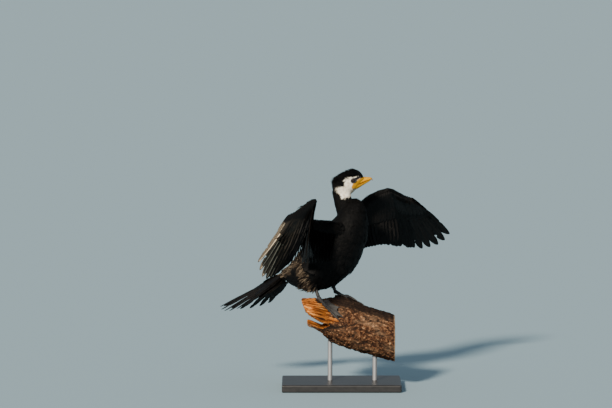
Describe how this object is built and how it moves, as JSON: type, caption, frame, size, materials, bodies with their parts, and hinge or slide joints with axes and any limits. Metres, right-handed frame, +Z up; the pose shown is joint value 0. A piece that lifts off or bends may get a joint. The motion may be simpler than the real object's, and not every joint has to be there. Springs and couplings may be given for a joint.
{
  "type": "little shag drying its wings",
  "caption": "Still life-size little shag standing on a broken log with its wings held open to dry, on a plain display stand.",
  "frame": {"origin": "centre of the display base's underside", "axes": "+Z up, +X the way the bird's body faces, +Y to the bird's left"},
  "size_m": [0.4242, 0.7584, 0.462],
  "materials": {
    "body_plumage": "black body feathers, soft low sheen",
    "wing_plumage": "black flight feathers with a brown-grey satin sheen",
    "head_plumage": "short black and white feathers, matt",
    "eye": "dark brown, wet gloss",
    "bill": "yellow horn, satin",
    "leg_skin": "black scaled skin, satin",
    "bark": "rough weathered bark and broken wood",
    "stand_board": "black lacquered board, satin",
    "stand_rod": "brushed"
  },
  "bodies": {
    "root": {"torso": "body_plumage", "neck": "body_plumage", "head": "head_plumage", "eye_left": "eye", "eye_right": "eye", "bill_upper": "bill", "bill_lower": "bill", "wing_left": "wing_plumage", "wing_right": "wing_plumage", "tail": "wing_plumage", "thigh_left": "body_plumage", "thigh_right": "body_plumage", "leg_left": "leg_skin", "leg_right": "leg_skin", "foot_left": "leg_skin", "foot_right": "leg_skin", "perch_log": "bark", "stand_base": "stand_board", "stand_rod_1": "stand_rod", "stand_rod_2": "stand_rod"}
  },
  "joints": []
}
